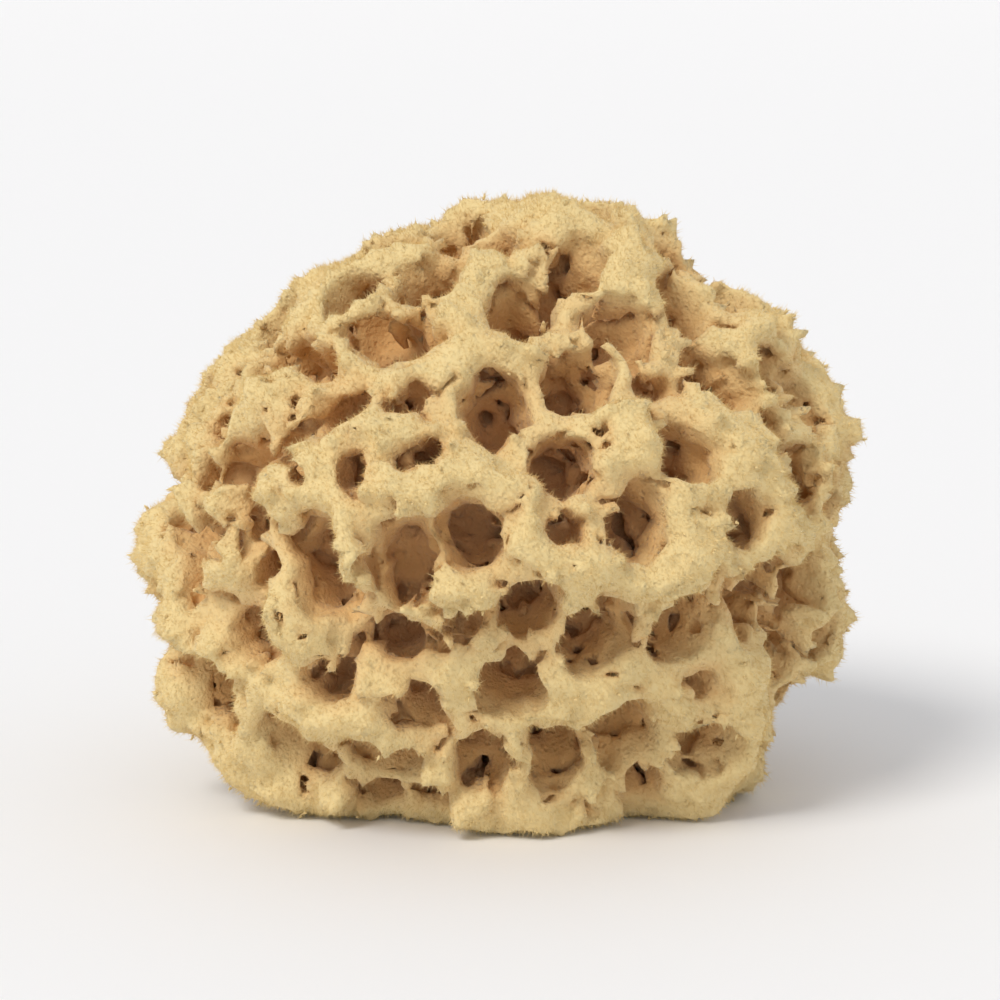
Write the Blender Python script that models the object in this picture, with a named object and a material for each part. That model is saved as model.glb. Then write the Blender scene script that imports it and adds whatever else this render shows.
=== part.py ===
"""A honeycomb sea sponge: one rounded pale yellow skeleton, trimmed flat where it was cut from the rock,
with deep pores all over it and soft lobed walls between them that end in pointed tufts."""

import math
import random

import bmesh
import bpy
from mathutils import Vector, noise

MM = 0.001

# Overall size of the dry sponge, in metres
WIDTH = 0.110
DEPTH = 0.104
HEIGHT = 0.092

# The body before its pores are made: it is widest at the waist and rests on the flat cut
WAIST_HEIGHT = 0.044
ROOT_REACH = 0.056
SWELLS = ((1.5, 0.13), (3.4, 0.09))
SWELL_SHIFT = Vector((4.2, 1.7, 8.3))
CENTRE = Vector((0.0, 0.0, WAIST_HEIGHT))

# The front left side as it is seen from a little above: places are millimetres across from the middle
# and up from the cut in that view
LOOK_DOWN = math.radians(10.5)
SIGHT = Vector((0.0, math.cos(LOOK_DOWN), -math.sin(LOOK_DOWN)))
SIGHT_STEPS = 60
# How far the pores of that side turn from straight into the body towards the line of sight
FACING = 0.6
# across, up, half length, half width, turn in degrees and height of each thick lobe or, below zero, valley
LOBES = (
    (-48.5, 38.0, 13.0, 4.0, 81, 3.2),
    (-41.5, 41.0, 9.0, 3.6, 64, 3.4),
    (-46.5, 28.5, 5.0, 4.5, 0, 2.8),
    (-27.5, 48.5, 8.5, 5.0, 12, 4.4),
    (-18.8, 40.5, 8.5, 3.2, 84, 4.6),
    (-33.5, 40.0, 8.0, 3.2, 98, 3.4),
    (-35.0, 33.0, 5.5, 3.0, 0, 2.0),
    (-30.5, 26.0, 4.2, 2.2, 80, 2.6),
    (-32.5, 61.0, 7.5, 5.5, 20, 2.4),
    (-15.0, 60.0, 9.0, 3.0, 52, 2.8),
    (-10.5, 48.0, 9.0, 4.2, 70, 3.8),
    (-36.0, 18.0, 9.0, 4.0, 0, -2.2),
    (-18.0, 26.5, 8.0, 4.5, 0, -3.0),
)
# across, up, width, length and turn in degrees of each pore
SIDE_PORES = (
    (-25.9, 35.8, 10.4, 15.4, 104),
    (-13.0, 36.5, 7.4, 14.5, 98),
    (-17.5, 69.5, 7.2, 12.5, 12),
    (-38.5, 24.5, 8.6, 10.0, 8),
    (-31.0, 67.0, 6.0, 8.4, 4),
    (-16.5, 24.0, 6.8, 8.0, 5),
    (-27.0, 18.6, 5.6, 7.4, 10),
    (-22.0, 57.6, 4.4, 10.4, 52),
    (-37.5, 50.6, 4.2, 10.0, 40),
    (-47.4, 35.0, 4.6, 9.6, 86),
    (-26.6, 65.0, 4.2, 4.8, 40),
    (-42.4, 57.0, 4.0, 5.8, 25),
    (-29.6, 52.0, 3.4, 5.0, 38),
    (-13.0, 59.4, 3.4, 6.6, 56),
    (-36.6, 42.4, 3.6, 4.6, 74),
    (-34.8, 35.8, 3.8, 4.6, 62),
    (-19.6, 48.6, 3.2, 4.4, 68),
)

# The rest of the pores are scattered, the widest first, and run up towards the crown:
# width, longest shape and how often one is tried
SCATTERED = (
    (9.6, 1.45, 700),
    (8.4, 1.7, 900),
    (6.6, 1.9, 900),
    (4.8, 2.0, 900),
    (3.6, 1.8, 200),
)
SIZE_SPREAD = (0.88, 1.08)
LEAN = math.radians(28)
NEARLY_UPRIGHT = 0.05
SEED = 20
# The least wall between two pores, and the share by which it varies
WALL = 3.0 * MM
SLACK = 0.4
DEPTH_PER_WIDTH = 2.1
DEEPEST = 16.0 * MM
CUT_DEEPEST = 8.0 * MM
# No pore opens in the middle of the cut
BLANK_RADIUS = 7.5 * MM

# Rings of a pore, from its rim to its floor: share of its mouth in the unfolded net, share of its mouth
# at that depth, and share of its depth
RIM = (1.0, 1.0, 0.0)
THROAT = (0.74, 0.84, 0.42)
WELL = (0.44, 0.52, 0.86)
SMALL_WELL = (0.58, 0.60, 0.80)
SMALL_PORE = 4.2 * MM
RING_STEP = 3.5 * MM
FEWEST_POINTS = 6
RIM_WOBBLE = 0.13
LIP = 0.5 * MM

# The edge where the skin meets the cut
EDGE_POINTS = 40
HALVINGS = 40

# Walls between the pores: the distance between their points, and how far they crest and end in tufts
WALL_STEP = 3.3 * MM
RIM_GAP = 1.3 * MM
WALL_TRIES = 5200
CREST = 3.2 * MM
CREST_WIDTH = 3.0 * MM
TUFT_SHARE = 0.3
TUFT_HEIGHT = 1.6 * MM
SHORTEST_TUFT = 0.4

SPONGE_COLOUR = (0.80, 0.64, 0.31, 1.0)
SPONGE_ROUGHNESS = 0.95
CREASE = math.radians(40)


def clear_scene():
    for old in list(bpy.data.objects):
        bpy.data.objects.remove(old, do_unlink=True)


def plain_reach(way):
    """Distance from the centre to the body's plain egg shape along a unit direction."""
    upright = HEIGHT - WAIST_HEIGHT if way.z > 0 else ROOT_REACH
    squares = (way.x / (WIDTH / 2)) ** 2 + (way.y / (DEPTH / 2)) ** 2 + (way.z / upright) ** 2
    return 1.0 / math.sqrt(squares)


def seen_on_body(across, up):
    """Direction from the centre to the point of the egg shape seen at that place from the front."""
    start = Vector((across, up * math.sin(LOOK_DOWN), up * math.cos(LOOK_DOWN))) * MM - SIGHT * WIDTH
    for step in range(SIGHT_STEPS):
        spoke = start + SIGHT * (WIDTH * step / SIGHT_STEPS) - CENTRE
        if spoke.length < plain_reach(spoke.normalized()):
            break
    return spoke.normalized()


def flat_frame(way, turn):
    """Two directions square to a way out of the body: one turned from level, and one square to it."""
    level = Vector((-way.y, way.x, 0.0))
    if level.length < NEARLY_UPRIGHT:
        level = Vector((1.0, 0.0, 0.0))
    level.normalize()
    upwards = way.cross(level)
    along = level * math.cos(turn) + upwards * math.sin(turn)
    across = upwards * math.cos(turn) - level * math.sin(turn)
    return along, across


def lobe_forms():
    """Centre direction, the two flat directions each divided by its half size, and height of each lobe."""
    forms = []
    for across, up, half_length, half_width, turn, height in LOBES:
        way = seen_on_body(across, up)
        lengthwise, widthwise = flat_frame(way, math.radians(turn))
        reach_here = plain_reach(way)
        stretch = lengthwise * (reach_here / (half_length * MM))
        forms.append((way, stretch, widthwise * (reach_here / (half_width * MM)), height * MM))
    return forms


def reach(way, lobes):
    """Distance from the centre to the body's skin, swells and lobes included, along a unit direction."""
    skin = plain_reach(way)
    for rate, share in SWELLS:
        skin += plain_reach(way) * share * noise.noise(way * rate + SWELL_SHIFT)
    for middle, lengthwise, widthwise, height in lobes:
        apart = way - middle
        if way.dot(middle) > 0.0:
            skin += height * math.exp(-(apart.dot(lengthwise) ** 2) - apart.dot(widthwise) ** 2)
    return skin


def on_skin(way, lobes, lift=0.0):
    """The skin's point along a direction, lifted outwards. What falls under the cut lies in it."""
    length = reach(way, lobes) + lift
    if way.z < 0 and length * -way.z > WAIST_HEIGHT:
        spot = CENTRE + way * (WAIST_HEIGHT / -way.z)
        return Vector((spot.x, spot.y, 0.0))
    return CENTRE + way * length


class Pore:
    """A pore's mouth: its middle on the skin, its half width and half length, and its depth."""

    def __init__(self, way, width, length, turn, lobes, faces_front=False):
        self.way = way
        leaning = FACING * max(0.0, -way.dot(SIGHT)) if faces_front else 0.0
        self.inward = (SIGHT * leaning - way * (1.0 - leaning)).normalized()
        self.middle = on_skin(way, lobes)
        self.in_cut = self.middle.z == 0.0
        self.half_width = width / 2
        self.half_length = length / 2
        self.depth = min(width * DEPTH_PER_WIDTH, CUT_DEEPEST if self.in_cut else DEEPEST)
        self.along, self.across = flat_frame(way, turn)

    def reach_to(self, spot):
        """How far the mouth reaches towards a point."""
        line = spot - self.middle
        if line.length < MM:
            return self.half_length
        line.normalize()
        stretched = Vector((line.dot(self.along) / self.half_length, line.dot(self.across) / self.half_width))
        return 1.0 / max(stretched.length, 1.0 / self.half_length)

    def offset(self, angle, share):
        along = self.along * (math.cos(angle) * self.half_length * share)
        return along + self.across * (math.sin(angle) * self.half_width * share)


def clear_of(pore, others, wall):
    for other in others:
        apart = (pore.middle - other.middle).length
        if apart < pore.reach_to(other.middle) + other.reach_to(pore.middle) + wall:
            return False
    return True


def random_way(dice):
    height = dice.uniform(-1.0, 1.0)
    angle = dice.uniform(0.0, math.tau)
    level = math.sqrt(1.0 - height * height)
    return Vector((level * math.cos(angle), level * math.sin(angle), height))


def cut_edge(lobes):
    """Directions to the points where the skin meets the flat cut."""
    ways = []
    for number in range(EDGE_POINTS):
        angle = math.tau * number / EDGE_POINTS
        low, high = -math.pi / 2, 0.0
        for _ in range(HALVINGS):
            lean = (low + high) / 2
            way = Vector((math.cos(lean) * math.cos(angle), math.cos(lean) * math.sin(angle), math.sin(lean)))
            if reach(way, lobes) * -way.z > WAIST_HEIGHT:
                low = lean
            else:
                high = lean
        ways.append(way)
    return ways


def place_pores(lobes, edge, dice):
    """The pores of the front left side at their own places, then the scattered ones between them."""
    pores = []
    for across, up, width, length, turn in SIDE_PORES:
        way = seen_on_body(across, up)
        pores.append(Pore(way, width * MM, length * MM, math.radians(turn), lobes, faces_front=True))
    edge_spots = [on_skin(way, lobes) for way in edge]
    for width, longest, tries in SCATTERED:
        for _ in range(tries):
            way = random_way(dice)
            size = width * MM * dice.uniform(*SIZE_SPREAD)
            length = size * dice.uniform(1.0, longest)
            turn = math.pi / 2 + dice.gauss(0.0, LEAN)
            wall = WALL * dice.uniform(1.0 - SLACK, 1.0 + SLACK)
            pore = Pore(way, size, length, turn, lobes)
            blank = pore.in_cut and pore.middle.length < BLANK_RADIUS + pore.half_length
            on_edge = any((pore.middle - spot).length < pore.half_length + WALL for spot in edge_spots)
            if not blank and not on_edge and clear_of(pore, pores, wall):
                pores.append(pore)
    return pores


def pore_points(pore, lobes, dice):
    """Pairs of a net direction and a place for every vertex of one pore."""
    mouth = math.pi * (pore.half_width + pore.half_length)
    count = max(FEWEST_POINTS, round(mouth / RING_STEP))
    small = pore.half_width * 2 < SMALL_PORE
    wobble = [1.0 + dice.uniform(-RIM_WOBBLE, RIM_WOBBLE) for _ in range(count)]
    start = dice.uniform(0.0, math.tau / count)
    points = []
    for net_share, share, sunk in (RIM, SMALL_WELL) if small else (RIM, THROAT, WELL):
        for number in range(count):
            angle = start + math.tau * number / count
            net = pore.middle + pore.offset(angle, net_share * wobble[number]) - CENTRE
            way = (pore.middle + pore.offset(angle, share * wobble[number]) - CENTRE).normalized()
            lift = 0.0 if sunk else dice.uniform(0.0, LIP)
            spot = on_skin(way, lobes, lift) + pore.inward * (pore.depth * sunk)
            points.append((net.normalized(), spot))
    points.append((pore.way, pore.middle + pore.inward * pore.depth))
    return points


def wall_points(pores, taken, lobes, dice):
    """Points on the walls between the pores: low crests, and pointed tufts on some of them."""
    points = []
    spots = list(taken)
    for _ in range(WALL_TRIES):
        way = random_way(dice)
        spot = on_skin(way, lobes)
        if any((spot - other).length < WALL_STEP for other in spots):
            continue
        if any((spot - pore.middle).length < pore.reach_to(spot) + RIM_GAP for pore in pores):
            continue
        spots.append(spot)
        gap = min((spot - pore.middle).length - pore.reach_to(spot) for pore in pores)
        lift = CREST * (1.0 - math.exp(-((gap / CREST_WIDTH) ** 2)))
        if dice.random() < TUFT_SHARE:
            lift += TUFT_HEIGHT * dice.uniform(SHORTEST_TUFT, 1.0)
        points.append((way, spot if spot.z == 0.0 else on_skin(way, lobes, lift)))
    return points


def fit_to_size(mesh):
    """Stretches the finished skin to the sponge's overall size, standing on the cut about its middle."""
    low = Vector([min(vertex.co[axis] for vertex in mesh.vertices) for axis in range(3)])
    high = Vector([max(vertex.co[axis] for vertex in mesh.vertices) for axis in range(3)])
    middle = (low + high) / 2
    stretch = [size / (high[axis] - low[axis]) for axis, size in enumerate((WIDTH, DEPTH, HEIGHT))]
    for vertex in mesh.vertices:
        vertex.co.x = (vertex.co.x - middle.x) * stretch[0]
        vertex.co.y = (vertex.co.y - middle.y) * stretch[1]
        vertex.co.z = (vertex.co.z - low.z) * stretch[2]


def sponge_mesh():
    """All points are joined in a net on a round ball by their directions, then moved to their places."""
    dice = random.Random(SEED)
    lobes = lobe_forms()
    edge = cut_edge(lobes)
    pores = place_pores(lobes, edge, dice)
    points = [(way, on_skin(way, lobes)) for way in edge]
    for pore in pores:
        points += pore_points(pore, lobes, dice)
    points += wall_points(pores, [spot for _, spot in points], lobes, dice)

    net = bmesh.new()
    places = {}
    for way, spot in points:
        places[net.verts.new(way)] = spot
    bmesh.ops.convex_hull(net, input=net.verts, use_existing_faces=False)
    loose = [vertex for vertex in net.verts if not vertex.link_faces]
    bmesh.ops.delete(net, geom=loose, context="VERTS")
    bmesh.ops.triangulate(net, faces=net.faces)
    bmesh.ops.recalc_face_normals(net, faces=net.faces)
    for vertex in net.verts:
        vertex.co = places[vertex]
    mesh = bpy.data.meshes.new("sponge")
    net.to_mesh(mesh)
    net.free()
    fit_to_size(mesh)
    return mesh


def sponge_material():
    material = bpy.data.materials.new("sponge")
    material.use_nodes = True
    shader = material.node_tree.nodes["Principled BSDF"]
    shader.inputs["Base Color"].default_value = SPONGE_COLOUR
    shader.inputs["Roughness"].default_value = SPONGE_ROUGHNESS
    shader.inputs["Metallic"].default_value = 0.0
    return material


def build_sponge():
    sponge = bpy.data.objects.new("sponge", sponge_mesh())
    bpy.context.scene.collection.objects.link(sponge)
    sponge.data.materials.append(sponge_material())
    sponge.data.shade_smooth()
    sponge.data.set_sharp_from_angle(angle=CREASE)
    return sponge


clear_scene()
build_sponge()
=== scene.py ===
"""Looks of the honeycomb sea sponge: its porous fibre skeleton, the short pointed locks on its walls, the
down of fine fibre ends all over it, a plain pale floor, soft light and the camera."""

import math

import bpy
import numpy as np
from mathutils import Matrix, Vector


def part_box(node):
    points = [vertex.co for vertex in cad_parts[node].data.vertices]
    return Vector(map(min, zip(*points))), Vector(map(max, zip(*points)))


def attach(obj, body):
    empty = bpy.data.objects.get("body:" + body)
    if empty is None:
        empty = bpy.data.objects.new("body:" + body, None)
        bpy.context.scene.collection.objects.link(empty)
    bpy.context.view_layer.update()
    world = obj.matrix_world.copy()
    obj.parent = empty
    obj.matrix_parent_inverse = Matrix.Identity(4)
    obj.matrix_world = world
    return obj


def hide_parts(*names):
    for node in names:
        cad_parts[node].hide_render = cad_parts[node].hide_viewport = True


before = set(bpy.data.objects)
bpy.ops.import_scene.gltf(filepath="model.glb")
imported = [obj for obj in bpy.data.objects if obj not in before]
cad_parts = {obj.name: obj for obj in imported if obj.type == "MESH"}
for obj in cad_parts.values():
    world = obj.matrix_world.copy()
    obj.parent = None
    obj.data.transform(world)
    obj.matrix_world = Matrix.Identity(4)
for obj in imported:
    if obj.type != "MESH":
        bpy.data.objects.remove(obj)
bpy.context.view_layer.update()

MM = 0.001
BODY = "root"
NODE = "sponge"
LOWEST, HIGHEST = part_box(NODE)
SIZE = HIGHEST - LOWEST
# The middle of the sponge's widest level, from which its points, locks and fibres spread outwards
WAIST_SHARE = 0.48
WAIST = Vector((0.0, 0.0, WAIST_SHARE * SIZE.z))

# Sizes from here to the camera are in millimetres

# The flesh is worked out on grains this far apart, also a little way outside the solid
GRAIN = 0.68
GRAIN_MARGIN = 2.5
# The volume of grains holds only values above zero, so the wall lies at half of a band this wide
GRAIN_BAND = 4.0
# The way that a ray goes to tell inside from outside, askew so that it doesn't run along an edge
SKEWED = (0.31, 0.22, 0.92)
# Loose pieces with fewer points than this are dropped
FINEST_PIECE = 20000
SKELETON_TRIANGLES = 199000
MERGE_DISTANCE = 0.01

# The solid's rims stay crisp where its faces meet at more than this angle
RIM_ANGLE = math.radians(38)
RIM_CREASE = 0.75

# How the pores' walls wander, except close to the flat cut
WANDER_PERIOD = 5.5
WANDER_DETAIL = 2.0
WANDER_REACH = 4.0
CALM_HEIGHT = 5.0

# How much flesh is trimmed off every wall, and how much more below the rims, which leaves these thin
TRIM = 0.45
UNDERCUT = 0.8
UNDERCUT_START = 1.05
UNDERCUT_DEPTH = 3.5

# Winding caves deep in the flesh, down to the closed core, and small round holes in all walls.
# Both are full size from the skin's depth on. The slope turns noise values into millimetres, and each
# pattern's shift picks the part of it that is used.
CAVE_PERIOD = 9.0
CAVE_DETAIL = 1.0
CAVE_SHIFTS = (3.1, 57.7)
CAVE_RADIUS = 1.4
CAVE_DEPTH = 17.0
NOISE_SLOPE = 0.045
SKIN_DEPTH = 6.0
HOLE_SPACING = 4.6
HOLE_SHIFT = 22.0
HOLE_RADIUS = 1.15
SKIN_HOLE_SHARE = 0.4

# Raggedness of all walls, and small points that stand out of the skin
RAGGED_PERIOD = 3.6
RAGGED_DETAIL = 2.0
RAGGED_SHIFT = 5.5
RAGGED_HEIGHT = 1.5
POINT_SPACING = 3.8
POINT_SHIFT = 7.0
POINT_REACH = 1.35
POINT_HEIGHT = 1.8

# Feelers sent out from a wall tell how shut in it is, and the shares are then evened out; the materials
# paint shade by it
FEELERS = 24
FEELER_LENGTH = 9.0
FEELER_START = 0.4
FEELER_SPREAD = 0.95
FEELER_EVENING = 2

# Locks: their number, lengths, width, untidiness and greatest depth
LOCK_COUNT = 450
LOCK_LENGTH = (0.5, 1.3)
LOCK_WIDTH = 2.1
LOCK_SPREAD = 0.9
LOCK_DEEPEST = 4.0
LOCK_SHYNESS = 2.0
LOCK_SEED = 11
# How many sides a lock has, then its radius at its root and tip and its tip's lean, in shares of its width
LOCK_SIDES = 5
LOCK_ROOT = 0.24
LOCK_TIP = 0.02
LOCK_LEAN = 0.2

# Down, which stands in tufts. The width is a fibre's radius at its root.
FIBRE_SIDES = 3
FIBRE_WIDTH = 0.042
FIBRES_PER_PIECE = 64000
FIBRE_SHYNESS = 0.7
FIBRE_SEED = 40
TUFT_SPACING = 1.7
TUFT_DETAIL = 1.0
TUFT_CONTRAST = 5.0
TUFT_SHARE = 0.55
# Name, shortest and longest fibre, untidiness and greatest depth of each down
DOWNS = (
    ("sponge_nap_1", (0.25, 0.65), 1.9, 12.0),
    ("sponge_nap_2", (0.3, 0.8), 1.9, 9.0),
    ("sponge_down", (0.4, 1.05), 1.7, 7.0),
    ("sponge_wisps", (0.6, 1.45), 1.4, 5.0),
)
# Locks and fibres end this far above what the sponge stands on
CLEARANCE = 0.05

# Tones of the dry fibre, pale and ochre; ochre and brown are also shade painted into hollows and pores
PALE = (0.785, 0.610, 0.297, 1.0)
SPECK_AND_SHADE_OCHRE = (0.72, 0.44, 0.18, 1.0)
# The brown is painted shade, down in the pores
PAINTED_SHADE_BROWN = (0.67, 0.40, 0.195, 1.0)
SHEEN = (1.0, 0.93, 0.72, 1.0)

# Painted shade: how shut in and how deep a wall is, and chance, turn it ochre and further in brown
OCHRE_SHUT_IN = 1.3
OCHRE_START = 3.0
OCHRE_DEPTH = 16.0
OCHRE_PATCHES = 0.7
OCHRE_MOTTLE = 0.45
BROWN_SHUT_IN_START = 0.62
BROWN_SHUT_IN = 3.0
BROWN_START = 9.0
BROWN_DEPTH = 14.0
BROWN_MOTTLE = 0.3

# Period, detail and shift of each noise pattern on the walls, and spacing and shift of the pits
PATCHES = (9.0, 1.0)
MOTTLE = (2.2, 3.0, 31.0)
SPECKS = (0.55, 2.0, 12.0)
FINE_GRAIN = (0.42, 2.0, 9.0)
COARSE_GRAIN = (1.3, 1.0, 4.0)
PITS = (1.15, 3.0)
# Specks are the pattern's highest spots, and at most this much ochre
SPECK_CONTRAST = 3.0
SPECK_THRESHOLD = 0.35
SPECK_SHARE = 0.35
# Height of the coarse grain against the fine one, radius and depth of a pit, and the relief of them all
COARSE_HEIGHT = 1.6
PIT_RADIUS = 0.42
PIT_DEPTH = 1.1
RELIEF_STRENGTH = 0.7
RELIEF_HEIGHT = 0.32

DRY_ROUGHNESS = 0.92
ROUGHNESS_MOTTLE = 0.1
DRY_SPECULAR = 0.15
SHEEN_WEIGHT = 0.25
SHEEN_ROUGHNESS = 0.6

# The camera, in metres, but its lens in millimetres
LENS = 127.0
LOOK_DOWN = math.radians(10.5)
CAMERA_DISTANCE = 0.53
AIM_HEIGHT = 0.044

# The floor, in metres
FLOOR_SIDES = 96
FLOOR_RADIUS = 5.0
FLOOR_CURVE = 1.5
CURVE_STEPS = 6
FLOOR_TONE = (0.89, 0.89, 0.90, 1.0)
FLOOR_ROUGHNESS = 0.7

SUN_STRENGTH = 1.72
SUN_WIDTH = math.radians(22)
SUN_TONE = (1.0, 0.97, 0.92)
# From the sun's place to its target is its direction, which is all that counts
SUN_PLACE = Vector((-0.55, -0.65, 0.95))
SUN_TARGET = Vector((0.0, 0.0, 0.03))
SKY_STRENGTH = 0.67
SKY_TONE = (0.97, 0.98, 1.0, 1.0)


class Term:
    """A node's output, with arithmetic that adds the Math nodes."""

    def __init__(self, net, socket):
        self.net = net
        self.socket = socket

    def math(self, operation, *others):
        """A Math node on this value and the others."""
        sockets = {number: other for number, other in enumerate((self,) + others)}
        return self.net.add("ShaderNodeMath", {"operation": operation}, sockets)[0]

    def __add__(self, other):
        return self.math("ADD", other)

    __radd__ = __add__

    def __mul__(self, other):
        return self.math("MULTIPLY", other)

    __rmul__ = __mul__

    def __sub__(self, other):
        return self.math("SUBTRACT", other)

    def __rsub__(self, other):
        return self * -1.0 + other

    def __truediv__(self, other):
        return self.math("DIVIDE", other)

    def __pow__(self, other):
        return self.math("POWER", other)

    def at_least(self, other):
        return self.math("MAXIMUM", other)

    def at_most(self, other):
        return self.math("MINIMUM", other)

    def clamped(self):
        return self.at_least(0.0).at_most(1.0)


class Net:
    """A node tree. add() takes a node's type, its settings and its sockets' values or links, and returns
    the node's outputs by number or name."""

    def __init__(self, tree):
        self.tree = tree

    def add(self, kind, settings=None, sockets=None):
        node = self.tree.nodes.new(kind)
        for name, value in (settings or {}).items():
            setattr(node, name, value)
        for name, value in (sockets or {}).items():
            self.feed(node.inputs[name], value)
        return Outputs(self, node)

    def feed(self, socket, value):
        if isinstance(value, Term):
            self.tree.links.new(value.socket, socket)
        else:
            socket.default_value = value

    def vector(self, operation, *values, **named):
        sockets = {number: value for number, value in enumerate(values)}
        sockets.update(named)
        return self.add("ShaderNodeVectorMath", {"operation": operation}, sockets)

    def grains(self, place):
        """A place in metres, in millimetres."""
        return self.vector("SCALE", place, Scale=1.0 / MM)[0]

    def shifted(self, place, shift):
        """Another part of a pattern, so that two patterns don't look alike."""
        return self.vector("ADD", place, (shift, -1.7 * shift, 0.6 * shift))[0]

    def noise(self, place, period, detail=0.0, shift=0.0):
        """Soft noise round zero."""
        sockets = {"Vector": self.shifted(place, shift), "Scale": 1.0 / period, "Detail": detail}
        return self.add("ShaderNodeTexNoise", None, sockets)[0] - 0.5

    def cells(self, place, spacing, shift=0.0):
        """Distance to the nearest of scattered points."""
        sockets = {"Vector": self.shifted(place, shift), "Scale": 1.0 / spacing}
        return self.add("ShaderNodeTexVoronoi", None, sockets)["Distance"] * spacing

    def mark(self, name):
        """A mark that the material reads off the mesh."""
        return self.add("ShaderNodeAttribute", {"attribute_type": "GEOMETRY", "attribute_name": name})["Fac"]

    def mix(self, share, first, second):
        return self.add("ShaderNodeMix", {"data_type": "RGBA"}, {0: share, 6: first, 7: second})[2]


class Outputs:
    """A node's outputs, by number or name."""

    def __init__(self, net, node):
        self.net = net
        self.node = node

    def __getitem__(self, name):
        return Term(self.net, self.node.outputs[name])


def shape_tree(name):
    """An empty Geometry Nodes tree and the shape that comes into it."""
    tree = bpy.data.node_groups.new(name, "GeometryNodeTree")
    tree.interface.new_socket("Geometry", in_out="INPUT", socket_type="NodeSocketGeometry")
    tree.interface.new_socket("Geometry", in_out="OUTPUT", socket_type="NodeSocketGeometry")
    net = Net(tree)
    return net, net.add("NodeGroupInput")[0]


def only(piece):
    """Selects one piece alone."""
    bpy.ops.object.select_all(action="DESELECT")
    piece.select_set(True)
    bpy.context.view_layer.objects.active = piece


def apply_modifier(piece, kind, **settings):
    only(piece)
    modifier = piece.modifiers.new(kind.title(), kind)
    for name, value in settings.items():
        setattr(modifier, name, value)
    bpy.ops.object.modifier_apply(modifier=modifier.name)


def apply_tree(piece, net, result):
    net.add("NodeGroupOutput", None, {0: result})
    apply_modifier(piece, "NODES", node_group=net.tree)


def copy_of(source, name):
    piece = bpy.data.objects.new(name, source.data.copy())
    bpy.context.scene.collection.objects.link(piece)
    return piece


def dress(piece, material):
    """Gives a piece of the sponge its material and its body."""
    piece.data.materials.clear()
    piece.data.materials.append(material)
    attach(piece, BODY)


def below_outline(net, form):
    """How many millimetres a spot lies below the form's taut outline."""
    outline = net.add("GeometryNodeConvexHull", None, {0: form})[0]
    near = net.add("GeometryNodeProximity", {"target_element": "FACES"}, {0: outline})
    return near["Distance"] / MM


def inside_form(net, form, spot):
    """How many millimetres a spot lies inside a closed form, less than zero outside it."""
    near = net.add("GeometryNodeProximity", {"target_element": "FACES"}, {0: form, "Sample Position": spot})
    ray = {"Target Geometry": form, "Source Position": spot, "Ray Direction": SKEWED, "Ray Length": 1.0}
    hit = net.add("GeometryNodeRaycast", {"data_type": "FLOAT_VECTOR"}, ray)
    leaving = net.vector("DOT_PRODUCT", hit["Hit Normal"], SKEWED)["Value"].math("SIGN")
    return near["Distance"] * (hit["Is Hit"] * leaving * 2.0 - 1.0).math("SIGN") / MM


def flesh_at(net, form):
    """How many millimetres a spot lies inside the fibre flesh, less than zero in caves, holes and pores."""
    spot = net.add("GeometryNodeInputPosition")[0]
    grains = net.grains(spot)
    up = net.add("ShaderNodeSeparateXYZ", None, {0: grains})[2]
    swirl = net.add("ShaderNodeTexNoise", None,
                    {"Vector": grains, "Scale": 1.0 / WANDER_PERIOD, "Detail": WANDER_DETAIL})
    sideways = net.vector("SUBTRACT", swirl["Color"], (0.5, 0.5, 0.5))[0]
    reach = (up / CALM_HEIGHT).clamped() * WANDER_REACH * MM
    moved = net.vector("ADD", spot, net.vector("SCALE", sideways, Scale=reach)[0])[0]
    sunk = below_outline(net, form)

    below = (sunk / SKIN_DEPTH).at_most(1.0)
    first, second = [net.noise(grains, CAVE_PERIOD, CAVE_DETAIL, shift) for shift in CAVE_SHIFTS]
    cave = (first * first + second * second).math("SQRT") / NOISE_SLOPE - below * CAVE_RADIUS
    hole_size = (below * (1.0 - SKIN_HOLE_SHARE) + SKIN_HOLE_SHARE) * HOLE_RADIUS
    hole = net.cells(grains, HOLE_SPACING, HOLE_SHIFT) - hole_size
    empty = cave.at_most(hole).at_least(sunk - CAVE_DEPTH)

    spoke = net.vector("NORMALIZE", net.vector("SUBTRACT", grains, WAIST / MM)[0])[0]
    on_ball = net.vector("SCALE", spoke, Scale=SIZE.x / 2 / MM)[0]
    off_point = net.cells(on_ball, POINT_SPACING, POINT_SHIFT)
    point = (1.0 - off_point / POINT_REACH).at_least(0.0) * POINT_HEIGHT
    ragged = net.noise(grains, RAGGED_PERIOD, RAGGED_DETAIL, RAGGED_SHIFT) * RAGGED_HEIGHT
    trim = ((sunk - UNDERCUT_START) / UNDERCUT_DEPTH).clamped() * UNDERCUT + TRIM
    wall = inside_form(net, form, moved) - trim + ragged + point
    return wall.at_most(empty).at_most(up)


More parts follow.
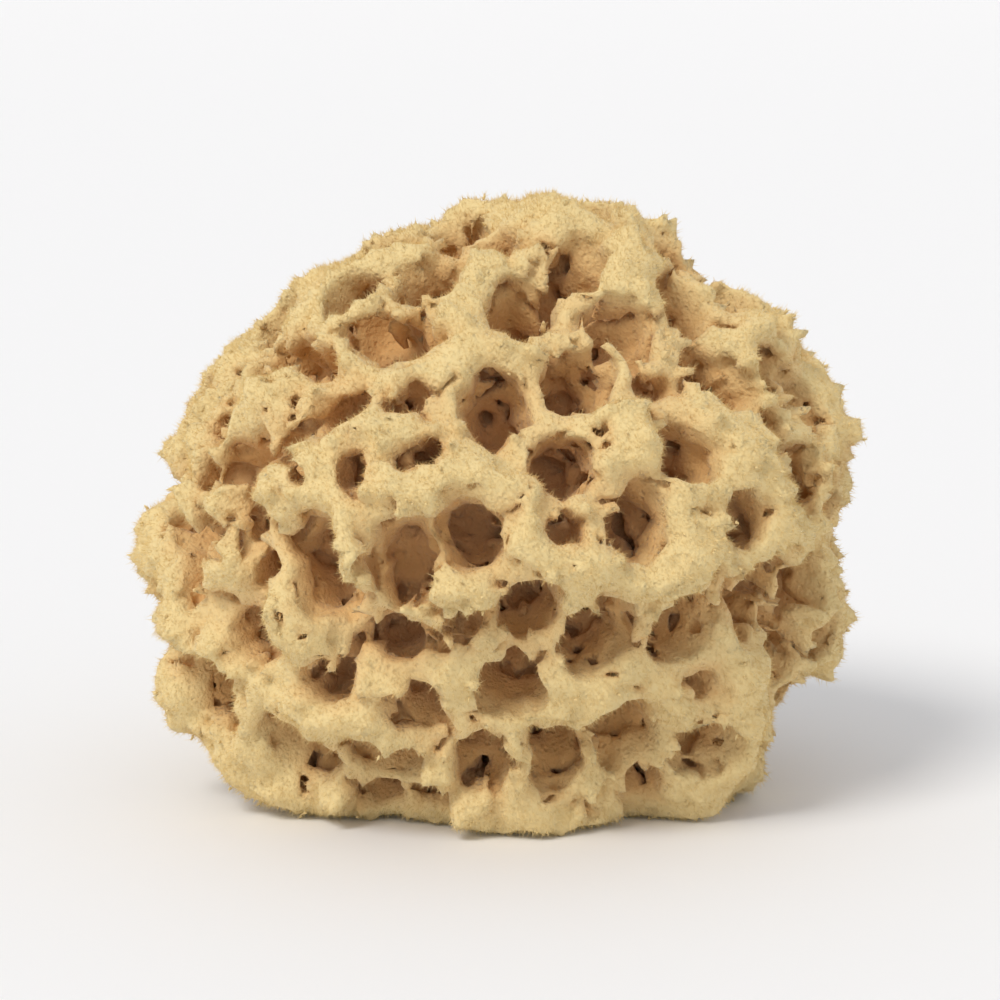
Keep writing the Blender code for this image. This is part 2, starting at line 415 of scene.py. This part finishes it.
def porous_tree():
    """A tree that turns the sponge's form into fibre flesh, grain by grain, with its caves and holes."""
    net, form = shape_tree("porous flesh")
    low = LOWEST / MM - Vector((GRAIN_MARGIN,) * 3)
    high = HIGHEST / MM + Vector((GRAIN_MARGIN,) * 3)
    low.z = -2.0 * GRAIN
    counts = [round((high[axis] - low[axis]) / GRAIN) for axis in range(3)]
    wall = GRAIN_BAND / 2.0
    block = net.add("GeometryNodeVolumeCube", None, {
        "Density": (flesh_at(net, form) + wall).at_least(0.0).at_most(GRAIN_BAND),
        "Background": 0.0,
        "Min": low * MM,
        "Max": high * MM,
        "Resolution X": counts[0],
        "Resolution Y": counts[1],
        "Resolution Z": counts[2],
    })
    walls = net.add("GeometryNodeVolumeToMesh", {"resolution_mode": "GRID"},
                    {0: block[0], "Threshold": wall})
    island = net.add("GeometryNodeInputMeshIsland")[0]
    count = net.add("GeometryNodeAccumulateField", {"data_type": "INT"}, {0: 1, "Group Index": island})
    loose = net.add("FunctionNodeCompare", {"data_type": "INT", "operation": "LESS_THAN"},
                    {2: count["Total"], 3: FINEST_PIECE})[0]
    kept = net.add("GeometryNodeDeleteGeometry", {"domain": "POINT"}, {0: walls[0], "Selection": loose})
    return net, kept[0]


def feeler_ways():
    """Directions spread evenly over a whole ball."""
    ways = []
    for number in range(FEELERS):
        height = 1.0 - (2.0 * number + 1.0) / FEELERS
        level = math.sqrt(1.0 - height * height)
        turn = number * math.pi * (3.0 - math.sqrt(5.0))
        ways.append(Vector((level * math.cos(turn), level * math.sin(turn), height)))
    return ways


def marked(net, shape, name, value):
    """The shape with a mark on each of its points."""
    sockets = {"Geometry": shape, "Name": name, "Value": value}
    kind = {"data_type": "FLOAT", "domain": "POINT"}
    return net.add("GeometryNodeStoreNamedAttribute", kind, sockets)[0]


def sink_marks(piece):
    """Marks each point of a piece with its depth below the sponge's taut outline and with how shut in it is:
    the share of short feelers that meet another wall. The materials paint shade by both marks."""
    net, form = shape_tree("depth marks")
    spot = net.add("GeometryNodeInputPosition")[0]
    normal = net.add("GeometryNodeInputNormal")[0]
    clear = net.vector("ADD", spot, net.vector("SCALE", normal, Scale=FEELER_START * MM)[0])[0]
    met = 0.0
    for way in feeler_ways():
        feeler = net.vector("NORMALIZE", net.vector("ADD", normal, way * FEELER_SPREAD)[0])[0]
        ray = {"Target Geometry": form, "Source Position": clear, "Ray Direction": feeler,
               "Ray Length": FEELER_LENGTH * MM}
        met = net.add("GeometryNodeRaycast", None, ray)["Is Hit"] + met
    even = net.add("GeometryNodeBlurAttribute", {"data_type": "FLOAT"},
                   {0: met / FEELERS, "Iterations": FEELER_EVENING})[0]
    with_depth = marked(net, form, "depth", below_outline(net, form))
    apply_tree(piece, net, marked(net, with_depth, "shut_in", even))


def make_skeleton():
    """The porous body: the solid's form in fibre flesh, with caves and holes."""
    skeleton = copy_of(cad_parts[NODE], "sponge_skeleton")
    only(skeleton)
    bpy.ops.object.mode_set(mode="EDIT")
    bpy.ops.mesh.select_all(action="SELECT")
    bpy.ops.mesh.remove_doubles(threshold=MERGE_DISTANCE * MM)
    bpy.ops.mesh.select_all(action="DESELECT")
    bpy.ops.mesh.select_mode(type="EDGE")
    bpy.ops.mesh.edges_select_sharp(sharpness=RIM_ANGLE)
    bpy.ops.transform.edge_crease(value=RIM_CREASE)
    bpy.ops.object.mode_set(mode="OBJECT")
    apply_modifier(skeleton, "SUBSURF", levels=1, render_levels=1)
    net, flesh = porous_tree()
    apply_tree(skeleton, net, flesh)
    skeleton.data.calc_loop_triangles()
    share = SKELETON_TRIANGLES / len(skeleton.data.loop_triangles)
    apply_modifier(skeleton, "DECIMATE", ratio=min(1.0, share), use_collapse_triangulate=True)
    sink_marks(skeleton)
    only(skeleton)
    bpy.ops.object.shade_smooth()
    return skeleton


def make_lock():
    """One pointed lock of fibres, a unit long along Z, that leans a little."""
    bpy.ops.object.select_all(action="DESELECT")
    bpy.ops.mesh.primitive_cone_add(vertices=LOCK_SIDES, radius1=LOCK_ROOT, radius2=LOCK_TIP, depth=1.0,
                                    location=(0.0, 0.0, 0.5))
    lock = bpy.context.object
    bpy.ops.object.transform_apply(location=True)
    for vertex in lock.data.vertices:
        vertex.select = vertex.co.z > 0.5
    bpy.ops.object.mode_set(mode="EDIT")
    bpy.ops.mesh.select_mode(type="VERT")
    bpy.ops.transform.translate(value=(LOCK_LEAN, 0.0, 0.0))
    bpy.ops.object.mode_set(mode="OBJECT")
    apply_modifier(lock, "SUBSURF", levels=1, render_levels=1)
    bpy.ops.object.shade_smooth()
    return lock


def make_fibre():
    """One fine fibre end, a unit in radius and length, that stands on the middle of its root."""
    bpy.ops.object.select_all(action="DESELECT")
    bpy.ops.mesh.primitive_cone_add(vertices=FIBRE_SIDES, radius1=1.0, depth=1.0, end_fill_type="NOTHING",
                                    location=(0.0, 0.0, 0.5))
    fibre = bpy.context.object
    bpy.ops.object.transform_apply(location=True)
    return fibre


def open_area(piece, deepest, shyness):
    """The piece's area, in which faces count less the deeper they lie."""
    areas = np.zeros(len(piece.data.polygons))
    first_corners = np.zeros(len(piece.data.polygons), dtype=int)
    corners = np.zeros(len(piece.data.loops), dtype=int)
    depths = np.zeros(len(piece.data.vertices))
    piece.data.polygons.foreach_get("area", areas)
    piece.data.polygons.foreach_get("loop_start", first_corners)
    piece.data.loops.foreach_get("vertex_index", corners)
    piece.data.attributes["depth"].data.foreach_get("value", depths)
    depth = depths[corners[first_corners]]
    return float((areas * np.clip(1.0 - depth / deepest, 0.0, 1.0) ** shyness).sum())


def stances(net, normals, spot, spread, seed):
    """Turns that point Z along the ground's normal and outwards, untidily, each spun by chance."""
    outwards = net.vector("NORMALIZE", net.vector("SUBTRACT", spot, WAIST)[0])[0]
    untidy = net.add("FunctionNodeRandomValue", {"data_type": "FLOAT_VECTOR"},
                     {0: (-spread, -spread, -spread), 1: (spread, spread, spread), "Seed": seed + 1})[0]
    way = net.vector("ADD", net.vector("ADD", normals, outwards)[0], untidy)[0]
    turned = net.add("FunctionNodeAlignRotationToVector", {"axis": "Z"}, {"Vector": way})[0]
    turn = net.add("FunctionNodeRandomValue", {"data_type": "FLOAT"},
                   {2: 0.0, 3: math.tau, "Seed": seed + 2})[1]
    spun = net.add("FunctionNodeAxisAngleToRotation", None, {"Axis": (0.0, 0.0, 1.0), "Angle": turn})[0]
    return net.add("FunctionNodeRotateRotation", {"rotation_space": "LOCAL"}, {0: turned, 1: spun})[0]


def sown(name, ground, seed_shape, seed, count, length, width, spread, deepest, shyness, in_tufts):
    """Copies of one small shape rooted all over a piece, fewer the deeper it goes. They lean outwards and
    end above what the sponge stands on."""
    piece = copy_of(ground, name)
    net, form = shape_tree(name)
    spot = net.add("GeometryNodeInputPosition")[0]
    depth = net.add("GeometryNodeInputNamedAttribute", {"data_type": "FLOAT"}, {"Name": "depth"})[0]
    room = (1.0 - depth / deepest).clamped() ** shyness
    if in_tufts:
        tufts = net.noise(net.grains(spot), TUFT_SPACING, TUFT_DETAIL, seed) * TUFT_CONTRAST + TUFT_SHARE
        room = room * tufts.clamped() / TUFT_SHARE
    density = room * (count / open_area(ground, deepest, shyness))
    rooted = net.add("GeometryNodeDistributePointsOnFaces", None,
                     {"Mesh": form, "Density": density, "Seed": seed})
    tall = net.add("FunctionNodeRandomValue", {"data_type": "FLOAT"},
                   {2: length[0] * MM, 3: length[1] * MM, "Seed": seed + 3})[1]
    copies = net.add("GeometryNodeInstanceOnPoints", None, {
        "Points": rooted["Points"],
        "Instance": net.add("GeometryNodeObjectInfo", None, {0: seed_shape})["Geometry"],
        "Rotation": stances(net, rooted["Normal"], spot, spread, seed),
        "Scale": net.add("ShaderNodeCombineXYZ", None, {0: width * MM, 1: width * MM, 2: tall})[0],
    })
    whole = net.add("GeometryNodeRealizeInstances", None, {0: copies[0]})
    parts = net.add("ShaderNodeSeparateXYZ", None, {0: spot})
    lifted = parts[2].at_least(CLEARANCE * MM)
    above = net.add("ShaderNodeCombineXYZ", None, {0: parts[0], 1: parts[1], 2: lifted})
    ending = net.add("GeometryNodeSetPosition", None, {"Geometry": whole[0], "Position": above[0]})
    apply_tree(piece, net, ending[0])
    return piece


def tone_and_painted_shade(net, grains, mottle=0.0):
    """Pale on the walls, ochre patches by chance, ochre shade painted into the hollows and brown shade
    painted down in the pores.
    """
    depth = net.mark("depth")
    shut_in = net.mark("shut_in")
    chance = net.noise(grains, *PATCHES) * OCHRE_PATCHES
    # Ochre share: shade painted into shut-in and sunken walls, plus patches and mottle by chance
    hollow = shut_in * OCHRE_SHUT_IN + (depth - OCHRE_START) / OCHRE_DEPTH + chance + mottle * OCHRE_MOTTLE
    # Brown share: shade painted down in the pores
    shut_in_shade = (shut_in - BROWN_SHUT_IN_START) * BROWN_SHUT_IN
    deep = shut_in_shade + (depth - BROWN_START) / BROWN_DEPTH + mottle * BROWN_MOTTLE
    return net.mix(deep.clamped(), net.mix(hollow.clamped(), PALE, SPECK_AND_SHADE_OCHRE), PAINTED_SHADE_BROWN)


def felt():
    """The walls of dry fibre: mottled, specked with ochre, with a fine felted grain and tiny pits, and shade
    painted into hollows and pores.
    """
    material = bpy.data.materials.new("sponge_felt")
    material.use_nodes = True
    material.node_tree.nodes.clear()
    net = Net(material.node_tree)
    grains = net.grains(net.add("ShaderNodeTexCoord")["Object"])
    mottle = net.noise(grains, *MOTTLE)
    speck = (net.noise(grains, *SPECKS) * SPECK_CONTRAST - SPECK_THRESHOLD).clamped() * SPECK_SHARE
    pit = (1.0 - net.cells(grains, *PITS) / PIT_RADIUS).clamped() * PIT_DEPTH
    relief = {
        "Strength": RELIEF_STRENGTH,
        "Distance": RELIEF_HEIGHT * MM,
        "Height": net.noise(grains, *FINE_GRAIN) + net.noise(grains, *COARSE_GRAIN) * COARSE_HEIGHT - pit,
    }
    shader = net.add("ShaderNodeBsdfPrincipled", None, {
        "Base Color": net.mix(speck, tone_and_painted_shade(net, grains, mottle), SPECK_AND_SHADE_OCHRE),
        "Roughness": mottle * ROUGHNESS_MOTTLE + DRY_ROUGHNESS,
        "Normal": net.add("ShaderNodeBump", None, relief)[0],
        "Specular IOR Level": DRY_SPECULAR,
        "Sheen Weight": SHEEN_WEIGHT,
        "Sheen Roughness": SHEEN_ROUGHNESS,
        "Sheen Tint": SHEEN,
    })
    net.add("ShaderNodeOutputMaterial", None, {"Surface": shader[0]})
    return material


def loose_fibre():
    """The fibre ends, which have the tone and the painted shade of their place."""
    material = bpy.data.materials.new("fibre_felt")
    material.use_nodes = True
    material.node_tree.nodes.clear()
    net = Net(material.node_tree)
    grains = net.grains(net.add("ShaderNodeTexCoord")["Object"])
    shader = net.add("ShaderNodeBsdfPrincipled", None, {
        "Base Color": tone_and_painted_shade(net, grains),
        "Roughness": DRY_ROUGHNESS,
        "Specular IOR Level": DRY_SPECULAR,
    })
    net.add("ShaderNodeOutputMaterial", None, {"Surface": shader[0]})
    return material


def plain(name, colour, roughness):
    material = bpy.data.materials.new(name)
    material.use_nodes = True
    shader = material.node_tree.nodes["Principled BSDF"]
    shader.inputs["Base Color"].default_value = colour
    shader.inputs["Roughness"].default_value = roughness
    return material


def make_floor():
    """A pale round floor whose far rim curves up out of sight."""
    bpy.ops.object.select_all(action="DESELECT")
    bpy.ops.mesh.primitive_circle_add(vertices=FLOOR_SIDES, radius=FLOOR_RADIUS, fill_type="NGON")
    floor = bpy.context.object
    floor.name = "floor"
    bpy.ops.object.mode_set(mode="EDIT")
    bpy.ops.mesh.select_all(action="SELECT")
    for step in range(CURVE_STEPS):
        before = math.pi / 2 * step / CURVE_STEPS
        after = math.pi / 2 * (step + 1) / CURVE_STEPS
        rise = FLOOR_CURVE * (math.cos(before) - math.cos(after))
        radius = FLOOR_RADIUS + FLOOR_CURVE * math.sin(before)
        grow = (FLOOR_RADIUS + FLOOR_CURVE * math.sin(after)) / radius
        bpy.ops.mesh.extrude_region_move(TRANSFORM_OT_translate={"value": (0.0, 0.0, rise)})
        bpy.ops.transform.resize(value=(grow, grow, 1.0))
    bpy.ops.mesh.delete(type="ONLY_FACE")
    bpy.ops.object.mode_set(mode="OBJECT")
    bpy.ops.object.shade_smooth()
    floor.data.materials.append(plain("floor", FLOOR_TONE, FLOOR_ROUGHNESS))


def aim(thing, spot, target):
    """Turns a lamp or camera at a spot towards its target."""
    thing.location = spot
    thing.rotation_euler = (target - spot).to_track_quat("-Z", "Y").to_euler()


def make_light():
    """A wide soft sun from the upper left front and an even pale sky."""
    lamp = bpy.data.lights.new("window light", "SUN")
    lamp.energy = SUN_STRENGTH
    lamp.angle = SUN_WIDTH
    lamp.color = SUN_TONE
    key = bpy.data.objects.new("window light", lamp)
    bpy.context.scene.collection.objects.link(key)
    aim(key, SUN_PLACE, SUN_TARGET)
    world = bpy.data.worlds.new("pale room")
    world.use_nodes = True
    sky = world.node_tree.nodes["Background"]
    sky.inputs["Color"].default_value = SKY_TONE
    sky.inputs["Strength"].default_value = SKY_STRENGTH
    bpy.context.scene.world = world


def make_camera():
    """A camera that looks down on the sponge at the photograph's angle."""
    camera = bpy.data.objects.new("camera", bpy.data.cameras.new("camera"))
    bpy.context.scene.collection.objects.link(camera)
    camera.data.lens = LENS
    target = Vector((0.0, 0.0, AIM_HEIGHT))
    back = Vector((0.0, -math.cos(LOOK_DOWN), math.sin(LOOK_DOWN))) * CAMERA_DISTANCE
    aim(camera, target + back, target)
    bpy.context.scene.camera = camera
    bpy.context.scene.view_settings.view_transform = "Standard"


sponge_felt = felt()
fibre_felt = loose_fibre()

skeleton = make_skeleton()
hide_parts(NODE)
dress(skeleton, sponge_felt)

lock = make_lock()
locks = sown("sponge_locks", skeleton, lock, LOCK_SEED, LOCK_COUNT, LOCK_LENGTH, LOCK_WIDTH, LOCK_SPREAD,
             LOCK_DEEPEST, LOCK_SHYNESS, False)
dress(locks, sponge_felt)

# The down is rooted on the skeleton and the locks alike
ground = copy_of(skeleton, "ground")
bpy.context.view_layer.update()
lock_ground = copy_of(locks, "lock ground")
only(ground)
lock_ground.select_set(True)
bpy.ops.object.join()

fibre = make_fibre()
for number, (name, length, spread, deepest) in enumerate(DOWNS):
    down = sown(name, ground, fibre, FIBRE_SEED + 10 * number, FIBRES_PER_PIECE, length, FIBRE_WIDTH, spread,
                deepest, FIBRE_SHYNESS, True)
    dress(down, fibre_felt)

for pattern in (lock, fibre, ground):
    bpy.data.objects.remove(pattern)

make_floor()
make_light()
make_camera()
